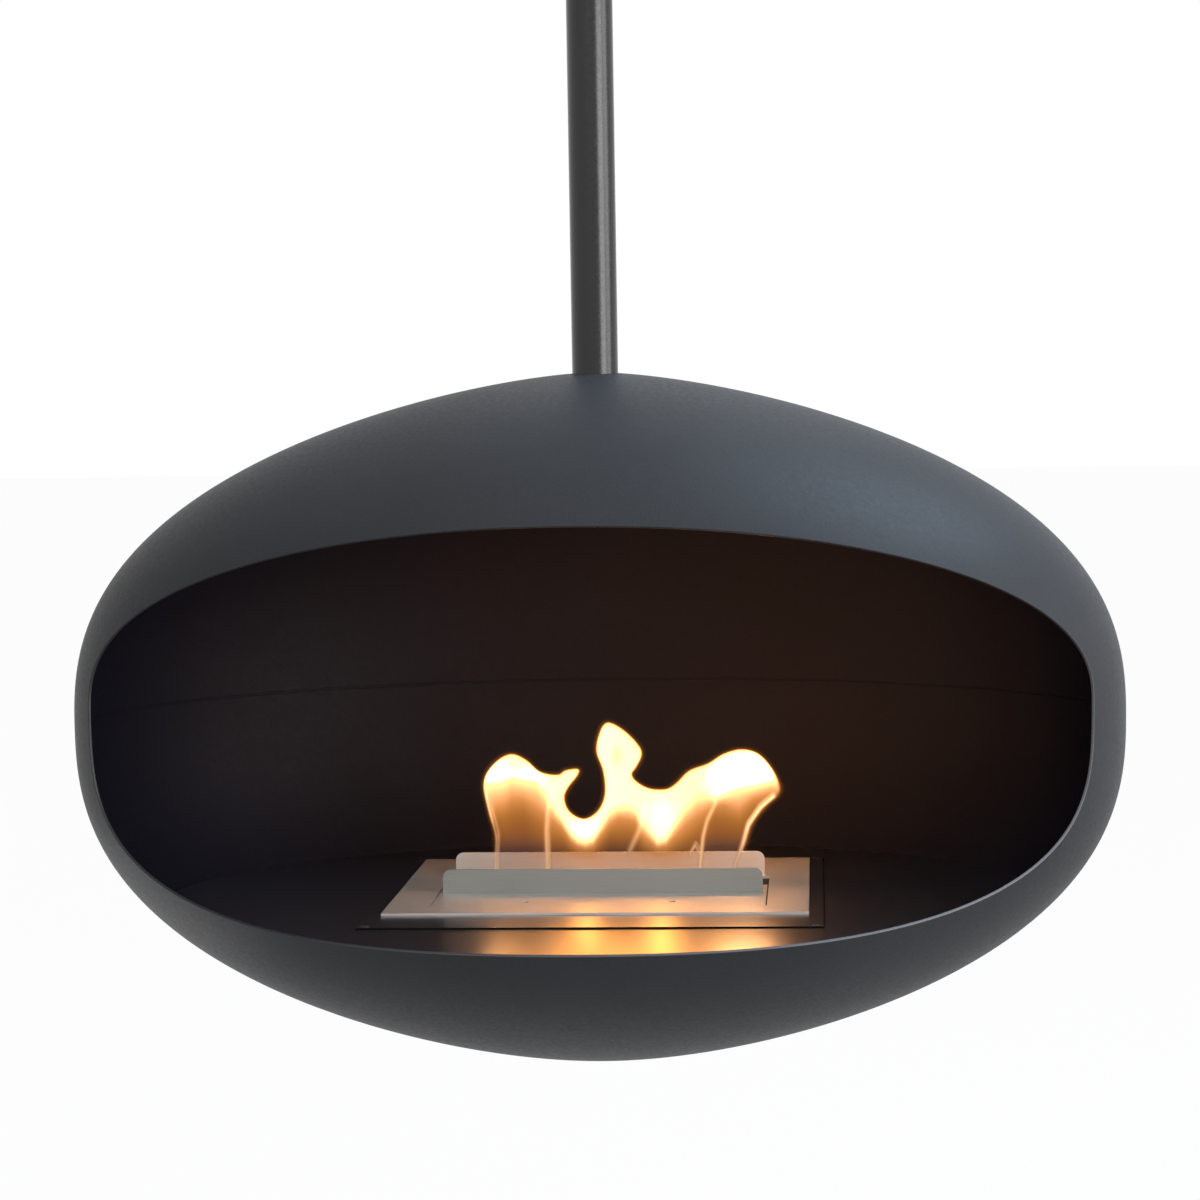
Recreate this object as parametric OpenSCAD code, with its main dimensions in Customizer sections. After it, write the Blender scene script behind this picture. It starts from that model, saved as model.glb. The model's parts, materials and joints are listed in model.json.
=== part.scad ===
// Hung bioethanol fireplace: a pebble-shaped steel pod on a pole that swivels under the ceiling.
// The origin is the centre of the ceiling plate's upper face, so the whole part lies below it.
// The mouth faces the front, which is the negative Y side. All sizes are in millimetres.

/* [Ceiling plate] */
// Diameter of the plate that is bolted to the ceiling
ceiling_plate_d = 180; // [176:1:220]
// Thickness of the ceiling plate
ceiling_plate_t = 8; // [7:0.5:14]
// Diameter of the circle that the ceiling holes lie on
fixing_circle_d = 142; // [140:1:150]
// Diameter of each ceiling hole
fixing_hole_d = 9; // [6:0.5:11]
// Number of ceiling holes
fixing_holes = 4; // [4:4:8]

/* [Canopy] */
// Height of the canopy that hides the ceiling plate
canopy_h = 100; // [96:1:140]
// Sheet thickness of the canopy
canopy_t = 1.5; // [1:0.1:3]
// Straight height of the canopy's rim
canopy_rim_h = 14; // [12:1:20]
// Width of the flat ring round the pole at the foot of the canopy
canopy_foot_w = 12; // [10:1:16]
// Number of screws round the canopy's rim
canopy_screws_n = 3; // [3:1:6]
// Thread diameter of the canopy screws
canopy_screw_d = 4; // [3:0.5:5]
// Length of the canopy screws inside the ceiling plate
canopy_screw_grip = 10; // [6:1:14]

/* [Swivel] */
// Outer diameter of the swivel housing
housing_d = 80; // [74:1:82]
// Outer diameter of the housing's bolting flange
housing_flange_d = 120; // [118:1:124]
// Thickness of the housing's flange
housing_flange_t = 8; // [6:0.5:12]
// Side wall of the housing
housing_wall = 8; // [5:0.5:9]
// Thickness of the housing's floor
housing_floor_t = 10; // [8:0.5:16]
// Diameter of the circle of the housing screws
housing_circle_d = 100; // [98:1:102]
// Number of housing screws
housing_screws_n = 4; // [3:1:6]
// Thread diameter of the housing screws
housing_screw_d = 8; // [6:1:8]
// Diameter of the swivel stem
stem_d = 30; // [24:1:34]
// Wall of the bronze bush
bush_wall = 3; // [2:0.5:5]
// Diameter of the bush's upper flange and of the thrust washer on it
thrust_d = 56; // [50:1:60]
// Thickness of the bush's upper flange
bush_flange_t = 3; // [2:0.5:5]
// Thickness of the thrust washer
thrust_washer_t = 4; // [2:0.5:6]
// Size of the stem nut across its flats
stem_nut_af = 46; // [40:1:50]
// Height of the stem nut
stem_nut_h = 14; // [12:1:18]
// Diameter of the pin that locks the stem nut
lock_pin_d = 4; // [3:0.5:5]
// Height of the stem's collar, which covers the end of the pole
stem_collar_h = 7; // [4:0.5:12]
// Length of the stem's spigot inside the pole
spigot_l = 50; // [44:1:80]
// Thread diameter of the bolt across the pole
cross_bolt_d = 8; // [6:1:10]

/* [Pole] */
// Outer diameter of the pole
pole_d = 40; // [38:1:44]
// Wall of the pole
pole_wall = 3; // [2:0.5:4]
// Distance from the ceiling to the crown of the pod
crown_drop = 900; // [500:10:2000]
// Length of the threaded plug in the foot of the pole
plug_l = 40; // [36:1:60]
// Thread diameter of the bolt that hangs the pod
hanger_bolt_d = 16; // [12:1:20]
// Length of the hanger bolt inside the plug
hanger_bolt_grip = 30; // [20:1:34]

/* [Pod] */
// Width of the pod
pod_w = 920; // [900:10:1100]
// Depth of the pod from front to back
pod_depth = 576; // [570:2:680]
// Height of the pod
pod_h = 610; // [600:2:700]
// Sheet thickness of the two shells
shell_t = 2.5; // [2:0.1:4]
// Power of the pod's profile in the flat direction
plan_power = 1.53; // [1.5:0.01:1.8]
// Power of the pod's profile in the upright direction
side_power = 2.5; // [2.4:0.05:2.8]
// Depth of the hanger plate below the inside of the crown
hanger_plate_drop = 12; // [8:0.5:18]
// Thickness of the hanger plate
hanger_plate_t = 8; // [5:0.5:12]
// Diameter of the washer under the hanger plate
hanger_washer_d = 60; // [44:1:70]
// Thickness of the washer under the hanger plate
hanger_washer_t = 5; // [3:0.5:8]

/* [Mouth] */
// Width of the mouth
mouth_w = 840; // [760:2:850]
// Height of the mouth's widest line above the middle of the pod
mouth_mid_z = 32; // [20:1:40]
// Rise of the mouth's upper edge above its widest line
mouth_up = 150; // [120:1:160]
// Fall of the mouth's lower edge below its widest line
mouth_down = 186; // [180:1:188]
// Power of the mouth's upper curve
mouth_up_power = 2.1; // [2:0.05:2.6]
// Power of the mouth's lower curve
mouth_down_power = 3.4; // [2.6:0.05:3.6]

/* [Hearth] */
// Depth of the insert's top face below the middle of the pod
insert_drop = 157; // [156:0.5:168]
// How far the insert stands up above the hearth plate
insert_proud = 1.5; // [0:0.25:2]
// Sheet thickness of the hearth plate
hearth_t = 3; // [2:0.5:5]
// Width of the screwed insert that carries the burner
insert_w = 390; // [386:1:420]
// Depth of the insert from front to back
insert_depth = 300; // [280:1:306]
// Distance of the insert's front edge from the pole's axis
insert_front = 137; // [124:1:145]
// Gap all round the insert
insert_gap = 0.8; // [0.4:0.1:1.5]
// Width of the ledge under the insert
ledge_in = 16; // [14:1:22]
// Width of the ledge under the hearth plate
ledge_out = 12; // [8:1:20]
// Thickness of the ledge
ledge_t = 3; // [2:0.5:5]
// Distance of the insert screws from the insert's edges
insert_screw_in = 7; // [6:0.5:9]
// Thread diameter of the insert screws
insert_screw_d = 4; // [3:0.5:5]

/* [Burner] */
// Width of the burner's top plate
burner_w = 365; // [360:1:380]
// Depth of the burner's top plate
burner_depth = 240; // [236:1:260]
// Distance of the burner's middle behind the pole's axis
burner_y = 30; // [10:1:35]
// Thickness of the burner's top plate
burner_t = 2; // [2:0.1:4]
// Thickness of the slotted cover over the tank
cover_t = 1.5; // [1:0.1:3]
// Width of the fuel tank
tank_w = 330; // [324:1:340]
// Depth of the fuel tank from front to back
tank_depth = 200; // [196:1:210]
// Height of the fuel tank
tank_h = 60; // [45:1:80]
// Sheet thickness of the fuel tank
tank_wall = 1.5; // [1:0.1:3]
// Height of the block of ceramic wool
wool_h = 38; // [20:1:40]
// Gap between the wool and the tank's walls
wool_gap = 0.5; // [0.2:0.1:1]
// Sheet thickness of the slotted retainer on the wool
retainer_t = 1; // [0.8:0.1:2]
// Number of slots in the retainer
retainer_slots = 14; // [8:1:16]
// Width of each slot in the retainer
retainer_slot_w = 8; // [4:0.5:12]
// Width of the retainer's edge round its slots
retainer_edge = 20; // [10:1:30]

/* [Flame slot and slider] */
// Length of the flame slot
slot_l = 280; // [240:1:284]
// Width of the flame slot from front to back
slot_w = 32; // [20:1:34]
// Distance of the flame slot's middle behind the burner's middle
slot_y = 12.5; // [8:0.5:15]
// How far the slider laps over each long edge of the slot
slider_lap = 1.5; // [1:0.5:3]
// Width of the slider plate
slider_w = 290; // [286:1:300]
// Gap on each side of the slider plate
slider_side_gap = 1.2; // [0.3:0.1:2]
// Depth of the slider plate from front to back
slider_depth = 88; // [84:1:96]
// Sheet thickness of the slider plate
slider_t = 1.5; // [1:0.1:1.6]
// Height of both upright lips above their feet
lip_h = 22; // [16:1:30]
// Length of both upright lips
lip_l = 283; // [270:1:288]
// Sheet thickness of the lips
lip_t = 1.5; // [1:0.1:2.5]
// Radius of the lips' upper corners
lip_r = 7; // [4:0.5:10]
// Depth of the lips' feet
lip_foot = 15; // [12:0.5:18]
// Distance of the front lip from the slider's rear edge
front_lip_back = 35; // [30:0.5:38]
// Distance of the rear lip behind the top plate's opening
rear_lip_back = 7.5; // [4:0.5:12]
// Diameter of the two tool holes in the slider
tool_hole_d = 6; // [4:0.5:8]
// Distance between the tool holes
tool_hole_pitch = 128; // [80:1:160]
// Distance of the tool holes behind the slider's front edge
tool_hole_in = 18; // [12:0.5:24]
// Diameter of the pins that guide the slider
guide_pin_d = 6; // [4:0.5:8]
// Distance between the guide pins
guide_pin_pitch = 240; // [200:1:256]
// Diameter of the washers that hold the guide pins down
guide_washer_d = 14; // [12:0.5:16]
// Thickness of the washers that hold the guide pins down
guide_washer_t = 1.5; // [1:0.1:2.5]
// Diameter of the rivets through the lips' feet
rivet_d = 4; // [3:0.5:5]
// Number of rivets in each lip
rivets_n = 4; // [3:1:6]

/* [Clearances] */
// Radial clearance of the stem in its bush
shaft_gap = 0.05; // [0.02:0.01:0.1]
// Gap between faces that slide or turn on each other
slide_gap = 0.3; // [0.1:0.05:0.4]
// Gap where a welded piece meets the curved shell
weld_gap = 0.3; // [0.1:0.05:0.5]
// Radial clearance of plugs, pins and bolts in their holes
bolt_gap = 0.15; // [0.1:0.05:0.3]
// Gap round the pole in the canopy and in the crown
pole_gap = 0.5; // [0.3:0.1:1]
// Gap between the canopy and the ceiling, and round the ceiling plate
canopy_gap = 0.5; // [0.3:0.1:1]
// Gap round the tank in the insert
tank_gap = 2; // [1:0.5:4]

/* [Hidden] */

black_coat = "#2b2c2f";
dark_steel = "#4a4c50";
bright_steel = "#a9abad";
bronze = "#a97c45";
brushed_steel = "#b9b2a8";
wool_white = "#e6e2d8";

// Facets of round pieces, of the pod's rings and of the mouth's two curves
round_fn = 64;
pod_facets = 72;
pod_rings = 12;
mouth_steps = 28;
canopy_steps = 14;
// A cut runs this far past the faces that it opens
cut = 1;

// Heads and nuts, as shares of their thread's diameter
hex_af = 1.6;
hex_head_h = 0.65;
hex_nut_h = 0.8;
socket_head_d = 1.6;
socket_d = 0.75;
round_head_d = 1.8;
round_head_h = 0.5;
rivet_head_share = 1.8;
rivet_head_h_share = 0.35;

// Levels of the swivel, downwards from the ceiling
housing_top = -ceiling_plate_t;
// Free height above the stem, under the ceiling plate
stem_headroom = 5;
stem_top = housing_top - stem_headroom;
// The stem stands this far above its nut
stem_stick_out = 3;
nut_top = stem_top - stem_stick_out;
nut_bottom = nut_top - stem_nut_h;
thrust_bottom = nut_bottom - thrust_washer_t;
bush_top = thrust_bottom - slide_gap;
housing_floor_top = bush_top - bush_flange_t;
housing_bottom = housing_floor_top - housing_floor_t;
// Free height between the housing and the stem's collar
collar_gap = 1;
collar_top = housing_bottom - collar_gap;
pole_top = collar_top - stem_collar_h;
spigot_bottom = pole_top - spigot_l;
cross_bolt_z = pole_top - spigot_l / 2;
// The cross bolt stands this far past its nut
bolt_stick_out = 2;
bush_d = stem_d + 2 * shaft_gap + 2 * bush_wall;
pole_bore_d = pole_d - 2 * pole_wall;
spigot_d = pole_bore_d - 2 * bolt_gap;
// The housing screws stop this far short of the ceiling
housing_screw_short = 2;
canopy_d = ceiling_plate_d + 2 * canopy_gap + 2 * canopy_t;
canopy_foot_r = pole_d / 2 + pole_gap + canopy_foot_w;
// The canopy screws stand between the ceiling holes
canopy_screw_angle = 60;
canopy_screw_z = -ceiling_plate_t / 2;

// The pod's own frame has its origin in the middle of the pod
half_w = pod_w / 2;
half_depth = pod_depth / 2;
half_h = pod_h / 2;
pod_z = -crown_drop - half_h;
in_w = half_w - shell_t;
in_depth = half_depth - shell_t;
in_h = half_h - shell_t;

// Height of each ring of a half shell, as a share of the half height
function ring_z(i) = pow(sin(90 * i / pod_rings), 2 / side_power);
// Size of each ring, as a share of the widest one
function ring_r(i) = pow(cos(90 * i / pod_rings), 2 / plan_power);
// Points of an ellipse with as many corners as the pod
function ellipse(x, y) = [for (i = [0:pod_facets - 1]) let (a = 360 * i / pod_facets) [x * cos(a), y * sin(a)]];
// Size of the faceted inside of the pod at a height, as a share of its widest ring
inside_table = [for (i = [0:pod_rings]) [ring_z(i) * in_h, i == pod_rings ? 0 : ring_r(i)]];
function inside_r(z) = lookup(abs(z), inside_table);

function signed_pow(v, e) = sign(v) * pow(abs(v), e);
// Half of the mouth's outline, which rises or falls from its widest line
function mouth_half(first, h, power) = [for (i = [0:mouth_steps - 1]) let (a = first + 180 * i / mouth_steps)
    [mouth_w / 2 * signed_pow(cos(a), 2 / power), mouth_mid_z + h * signed_pow(sin(a), 2 / power)]];

// Levels inside the pod, in the pod's own frame
hanger_top = in_h - hanger_plate_drop;
hanger_bottom = hanger_top - hanger_plate_t;
washer_bottom = hanger_bottom - hanger_washer_t;
hearth_top = -insert_drop - insert_proud;
ledge_top = hearth_top - hearth_t;
insert_y = insert_depth / 2 - insert_front;
pole_bottom = pod_z + hanger_top;

// The burner's own frame has its origin in the middle of the burner, on the insert's top face
burner_z = pod_z - insert_drop;
slider_rear = slot_y - slot_w / 2 - slider_lap;
slider_front = slider_rear - slider_depth;
slider_travel = slot_w + 2 * slider_lap;
opening_front = slider_front - slide_gap;
opening_rear = slider_rear + slider_travel + slide_gap;
opening_w = slider_w + 2 * slider_side_gap;
front_lip_y = slider_rear - front_lip_back;
rear_lip_y = opening_rear + rear_lip_back;
slider_top = slide_gap + slider_t;
tool_y = slider_front + tool_hole_in;
tank_top = -cover_t;
tank_bottom = tank_top - tank_h;
tank_in_w = tank_w - 2 * tank_wall;
tank_in_depth = tank_depth - 2 * tank_wall;
wool_bottom = tank_bottom + tank_wall;
wool_top = wool_bottom + wool_h;
retainer_pitch = (tank_in_w - 2 * retainer_edge) / retainer_slots;
rivet_head_d = rivet_head_share * rivet_d;
rivet_head_h = rivet_head_h_share * rivet_d;
rivet_pitch = lip_l / rivets_n;
guide_washer_top = -cover_t - slide_gap;
// The guide pins stand this far below their washers
pin_stick_out = 1.5;

module at_pod() {
    translate([0, 0, pod_z]) children();
}

module at_burner() {
    translate([0, burner_y, burner_z]) children();
}

// Copies its child on a circle, with the first copy at an angle
module on_circle(d, n, first = 0) {
    for (i = [0:n - 1])
        rotate([0, 0, first + 360 * i / n]) translate([d / 2, 0, 0]) children();
}

// Copies its child along X, evenly about the middle
module in_row(n, pitch) {
    for (i = [0:n - 1])
        translate([(i - (n - 1) / 2) * pitch, 0, 0]) children();
}

// Copies its child to the corners of the insert, on its screws
module at_insert_corners() {
    for (x = [-1, 1], y = [-1, 1])
        translate([x * (insert_w / 2 - insert_screw_in), insert_y + y * (insert_depth / 2 - insert_screw_in), 0])
            children();
}

// A round solid between two heights
module disc(d, z0, z1) {
    translate([0, 0, z0]) cylinder(h = z1 - z0, d = d, $fn = round_fn);
}

// A ring between two heights
module ring(d, bore, z0, z1) {
    difference() {
        disc(d, z0, z1);
        disc(bore, z0 - cut, z1 + cut);
    }
}

// A hexagon between two heights
module hexagon(af, z0, z1) {
    translate([0, 0, z0]) cylinder(h = z1 - z0, d = af / cos(30), $fn = 6);
}

// A box that is centred across X and runs between two depths and two heights
module slab(w, y0, y1, z0, z1) {
    translate([-w / 2, y0, z0]) cube([w, y1 - y0, z1 - z0]);
}

// A box that is centred across X and Y and runs between two heights
module block(w, depth, z0, z1) {
    slab(w, -depth / 2, depth / 2, z0, z1);
}

// A frame of two such boxes
module frame(w, depth, in_w, in_depth, z0, z1) {
    difference() {
        block(w, depth, z0, z1);
        block(in_w, in_depth, z0 - cut, z1 + cut);
    }
}

// A bolt's place across the pole, with its axis along X
module across_pole() {
    translate([0, 0, cross_bolt_z]) rotate([0, 90, 0]) children();
}

// A screw's place on the canopy's rim, with its axis pointing outwards
module on_canopy_rim() {
    on_circle(0, canopy_screws_n, canopy_screw_angle)
        translate([0, 0, canopy_screw_z]) rotate([0, 90, 0]) children();
}

// Ceiling plate, drilled for the ceiling and tapped for the housing and the canopy
module ceiling_plate() {
    color(dark_steel)
    difference() {
        disc(ceiling_plate_d, -ceiling_plate_t, 0);
        on_circle(fixing_circle_d, fixing_holes, 180 / fixing_holes)
            disc(fixing_hole_d, -ceiling_plate_t - cut, cut);
        on_circle(housing_circle_d, housing_screws_n)
            disc(housing_screw_d + 2 * bolt_gap, -ceiling_plate_t - cut, bolt_gap - housing_screw_short);
        on_canopy_rim()
            disc(canopy_screw_d + 2 * bolt_gap, ceiling_plate_d / 2 - canopy_screw_grip - bolt_gap,
                ceiling_plate_d / 2 + cut);
    }
}

// Swivel housing, a flanged cup whose floor carries the bush
module swivel_housing() {
    color(dark_steel)
    difference() {
        union() {
            disc(housing_flange_d, housing_top - housing_flange_t, housing_top);
            disc(housing_d, housing_bottom, housing_top);
        }
        disc(housing_d - 2 * housing_wall, housing_floor_top, housing_top + cut);
        disc(bush_d + 2 * shaft_gap, housing_bottom - cut, housing_top + cut);
        on_circle(housing_circle_d, housing_screws_n)
            disc(housing_screw_d + 2 * bolt_gap, housing_top - housing_flange_t - cut, housing_top + cut);
    }
}

// Socket head screws that hold the housing up to the ceiling plate
module housing_screws() {
    head_top = housing_top - housing_flange_t;
    color(bright_steel)
    on_circle(housing_circle_d, housing_screws_n)
        difference() {
            union() {
                disc(housing_screw_d, head_top, -housing_screw_short);
                disc(socket_head_d * housing_screw_d, head_top - housing_screw_d, head_top);
            }
            hexagon(socket_d * housing_screw_d, head_top - housing_screw_d - cut, head_top - housing_screw_d / 2);
        }
}

// Flanged bronze bush in the housing's floor
module swivel_bush() {
    color(bronze)
    difference() {
        union() {
            disc(bush_d, housing_bottom, bush_top);
            disc(thrust_d, housing_floor_top, bush_top);
        }
        disc(stem_d + 2 * shaft_gap, housing_bottom - cut, bush_top + cut);
    }
}

// The canopy's side swells from its foot to its rim along a quarter ellipse
function canopy_side(r, foot_z) = [for (i = [0:canopy_steps]) let (a = 90 * i / canopy_steps)
    [canopy_foot_r + (r - canopy_foot_r) * sin(a), -canopy_rim_h + (foot_z + canopy_rim_h) * cos(a)]];
function reversed(list) = [for (i = [len(list) - 1:-1:0]) list[i]];

// Canopy, a spun steel cup that hides the ceiling plate and the swivel
module canopy() {
    outer_r = canopy_d / 2;
    inner_r = outer_r - canopy_t;
    hole_r = pole_d / 2 + pole_gap;
    floor_z = canopy_t - canopy_h;
    outside = concat([[hole_r, -canopy_h]], canopy_side(outer_r, -canopy_h), [[outer_r, -canopy_gap]]);
    inside = concat([[hole_r, floor_z]], canopy_side(inner_r, floor_z), [[inner_r, -canopy_gap]]);
    color(black_coat)
    difference() {
        rotate_extrude($fn = round_fn) polygon(concat(outside, reversed(inside)));
        on_canopy_rim() disc(canopy_screw_d + 2 * bolt_gap, inner_r - cut, outer_r + cut);
    }
}

// Round head screws that hold the canopy to the ceiling plate's edge
module canopy_screws() {
    color(bright_steel)
    on_canopy_rim() {
        disc(canopy_screw_d, ceiling_plate_d / 2 - canopy_screw_grip, canopy_d / 2);
        disc(round_head_d * canopy_screw_d, canopy_d / 2, canopy_d / 2 + round_head_h * canopy_screw_d);
    }
}

// Swivel stem, which turns in the bush and carries the pole on its spigot
module swivel_stem() {
    color(bright_steel)
    difference() {
        union() {
            disc(stem_d, collar_top, stem_top);
            disc(pole_d, pole_top, collar_top);
            disc(spigot_d, spigot_bottom, pole_top);
        }
        across_pole() disc(cross_bolt_d + 2 * bolt_gap, -pole_d, pole_d);
        translate([0, 0, (nut_top + nut_bottom) / 2]) rotate([90, 0, 0])
            disc(lock_pin_d + 2 * bolt_gap, -stem_nut_af, stem_nut_af);
    }
}

// Thrust washer between the stem nut and the bush
module thrust_washer() {
    color(bright_steel) ring(thrust_d, stem_d + 2 * bolt_gap, thrust_bottom, nut_bottom);
}

// Stem nut, which hangs the pole and the pod on the thrust washer
module stem_nut() {
    color(bright_steel)
    difference() {
        hexagon(stem_nut_af, nut_bottom, nut_top);
        disc(stem_d + 2 * bolt_gap, nut_bottom - cut, nut_top + cut);
        translate([0, 0, (nut_top + nut_bottom) / 2]) rotate([90, 0, 0])
            disc(lock_pin_d + 2 * bolt_gap, -stem_nut_af, stem_nut_af);
    }
}

// Pin across the stem nut, so that the nut can't work loose as the pod turns
module nut_lock_pin() {
    color(dark_steel)
    translate([0, 0, (nut_top + nut_bottom) / 2]) rotate([90, 0, 0])
        disc(lock_pin_d, -stem_nut_af / 2, stem_nut_af / 2);
}

// Pole, a round tube from the swivel to the hanger plate
module pole() {
    color(black_coat)
    difference() {
        ring(pole_d, pole_bore_d, pole_bottom, pole_top);
        across_pole() disc(cross_bolt_d + 2 * bolt_gap, -pole_d, pole_d);
    }
}

// Bolt across the pole and the stem's spigot
module cross_bolt() {
    end = pole_d / 2 + hex_nut_h * cross_bolt_d + bolt_stick_out;
    color(bright_steel)
    across_pole() {
        disc(cross_bolt_d, -pole_d / 2, end);
        hexagon(hex_af * cross_bolt_d, -pole_d / 2 - hex_head_h * cross_bolt_d, -pole_d / 2);
    }
}

// Nut on the bolt across the pole
module cross_nut() {
    color(bright_steel)
    across_pole()
        difference() {
            hexagon(hex_af * cross_bolt_d, pole_d / 2, pole_d / 2 + hex_nut_h * cross_bolt_d);
            disc(cross_bolt_d + 2 * bolt_gap, 0, pole_d);
        }
}

// Threaded plug, welded into the foot of the pole
module pole_plug() {
    color(bright_steel)
    ring(spigot_d, hanger_bolt_d + 2 * bolt_gap, pole_bottom, pole_bottom + plug_l);
}

// Hanger plate, welded all round its edge under the crown
module hanger_plate() {
    r = inside_r(hanger_top);
    color(dark_steel)
    at_pod()
        difference() {
            translate([0, 0, hanger_bottom]) linear_extrude(hanger_plate_t)
                polygon(ellipse(in_w * r - weld_gap, in_depth * r - weld_gap));
            disc(hanger_bolt_d + 2 * bolt_gap, hanger_bottom - cut, hanger_top + cut);
        }
}

// Thick washer between the hanger plate and the bolt's head
module hanger_washer() {
    color(bright_steel)
    at_pod() ring(hanger_washer_d, hanger_bolt_d + 2 * bolt_gap, washer_bottom, hanger_bottom);
}

// Hanger bolt, which draws the crown up against the foot of the pole
module hanger_bolt() {
    color(bright_steel)
    at_pod() {
        disc(hanger_bolt_d, washer_bottom, hanger_top + hanger_bolt_grip);
        hexagon(hex_af * hanger_bolt_d, washer_bottom - hex_head_h * hanger_bolt_d, washer_bottom);
    }
}

// Outside or inside points of a half shell, ring by ring, and then its crown
function shell_points(w, depth, h) = concat(
    [for (i = [0:pod_rings - 1], p = ellipse(w * ring_r(i), depth * ring_r(i))) [p[0], p[1], h * ring_z(i)]],
    [[0, 0, h]]);
// Faces between the rings of such points, which start at a given number
function shell_faces(start) = concat(
    [for (i = [0:pod_rings - 2], k = [0:pod_facets - 1]) let (n = (k + 1) % pod_facets, a = start + i * pod_facets)
        [a + k, a + pod_facets + k, a + pod_facets + n, a + n]],
    [for (k = [0:pod_facets - 1]) let (n = (k + 1) % pod_facets, a = start + (pod_rings - 1) * pod_facets)
        [a + k, start + pod_rings * pod_facets, a + n]]);

// Upper half of the pod before its mouth is cut, open below
module half_shell() {
    inner_start = pod_rings * pod_facets + 1;
    rim = [for (k = [0:pod_facets - 1]) let (n = (k + 1) % pod_facets) [k, n, inner_start + n, inner_start + k]];
    polyhedron(
        concat(shell_points(half_w, half_depth, half_h), shell_points(in_w, in_depth, in_h)),
        concat(shell_faces(0), [for (f = shell_faces(inner_start)) reversed(f)], rim));
}

// Solid that cuts the mouth through the front of the pod
module mouth_cutter() {
    outline = concat(mouth_half(0, mouth_up, mouth_up_power), mouth_half(180, mouth_down, mouth_down_power));
    rotate([90, 0, 0]) linear_extrude(half_depth + cut) polygon(outline);
}

// Upper shell, with the pole's hole in its crown
module upper_shell() {
    color(black_coat)
    at_pod()
        difference() {
            half_shell();
            mouth_cutter();
            disc(pole_d + 2 * pole_gap, hanger_top, half_h + cut);
        }
}

// Lower shell, welded to the upper one at the widest line
module lower_shell() {
    color(black_coat)
    at_pod()
        difference() {
            mirror([0, 0, 1]) half_shell();
            mouth_cutter();
        }
}

// Hearth plate, welded all round its edge inside the lower shell
module hearth_plate() {
    r = inside_r(ledge_top);
    color(black_coat)
    at_pod()
        difference() {
            translate([0, 0, ledge_top]) linear_extrude(hearth_t)
                polygon(ellipse(in_w * r - weld_gap, in_depth * r - weld_gap));
            translate([0, insert_y, 0])
                block(insert_w + 2 * insert_gap, insert_depth + 2 * insert_gap, ledge_top - cut, hearth_top + cut);
        }
}

// Ledge, a flat frame under the hearth plate on which the insert rests
module insert_ledge() {
    color(dark_steel)
    at_pod()
        difference() {
            translate([0, insert_y, 0])
                frame(insert_w + 2 * ledge_out, insert_depth + 2 * ledge_out,
                    insert_w - 2 * ledge_in, insert_depth - 2 * ledge_in, ledge_top - ledge_t, ledge_top);
            at_insert_corners() disc(insert_screw_d + 2 * bolt_gap, ledge_top - ledge_t - cut, ledge_top + cut);
        }
}

// A countersunk head under the insert's top face
module countersink(gap) {
    d = insert_screw_d + 2 * gap;
    head_d = 2 * insert_screw_d + 2 * gap;
    translate([0, 0, -insert_drop - insert_screw_d / 2])
        cylinder(h = insert_screw_d / 2, d1 = d, d2 = head_d, $fn = round_fn);
}

// Hearth insert, the screwed frame that the burner hangs in
module hearth_insert() {
    color(black_coat)
    at_pod()
        difference() {
            translate([0, insert_y, 0]) block(insert_w, insert_depth, ledge_top, -insert_drop);
            translate([0, burner_y, 0])
                block(tank_w + 2 * tank_gap, tank_depth + 2 * tank_gap, ledge_top - cut, cut - insert_drop);
            at_insert_corners() {
                disc(insert_screw_d + 2 * bolt_gap, ledge_top - cut, cut - insert_drop);
                countersink(bolt_gap);
            }
        }
}

// Countersunk screws at the corners of the insert
module insert_screws() {
    color(bright_steel)
    at_pod() at_insert_corners() {
        disc(insert_screw_d, ledge_top - ledge_t, -insert_drop - insert_screw_d / 2);
        countersink(0);
    }
}

// Burner top plate, the stainless frame round the slider
module burner_top() {
    color(brushed_steel)
    at_burner()
        difference() {
            block(burner_w, burner_depth, 0, burner_t);
            slab(opening_w, opening_front, opening_rear, -cut, burner_t + cut);
            translate([0, rear_lip_y + lip_t + lip_foot / 2, 0]) in_row(rivets_n, rivet_pitch)
                disc(rivet_d + 2 * bolt_gap, -cut, burner_t + cut);
        }
}

// Cover over the tank, with the flame slot and the two slots that guide the slider
module burner_cover() {
    slot_d = guide_pin_d + 2 * slide_gap;
    color(brushed_steel)
    at_burner()
        difference() {
            block(tank_w, tank_depth, -cover_t, 0);
            slab(slot_l, slot_y - slot_w / 2, slot_y + slot_w / 2, -cover_t - cut, cut);
            translate([0, rear_lip_y + lip_t + lip_foot / 2, 0]) in_row(rivets_n, rivet_pitch)
                disc(rivet_d + 2 * bolt_gap, -cover_t - cut, cut);
            translate([0, tool_y, 0]) in_row(2, guide_pin_pitch) {
                slab(slot_d, 0, slider_travel, -cover_t - cut, cut);
                disc(slot_d, -cover_t - cut, cut);
                translate([0, slider_travel, 0]) disc(slot_d, -cover_t - cut, cut);
            }
        }
}

// Fuel tank, an open box welded under the cover
module fuel_tank() {
    color(brushed_steel)
    at_burner()
        difference() {
            block(tank_w, tank_depth, tank_bottom, tank_top);
            block(tank_in_w, tank_in_depth, wool_bottom, tank_top + cut);
        }
}

// Ceramic wool that soaks up the fuel
module ceramic_wool() {
    color(wool_white)
    at_burner() block(tank_in_w - 2 * wool_gap, tank_in_depth - 2 * wool_gap, wool_bottom, wool_top);
}

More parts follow.
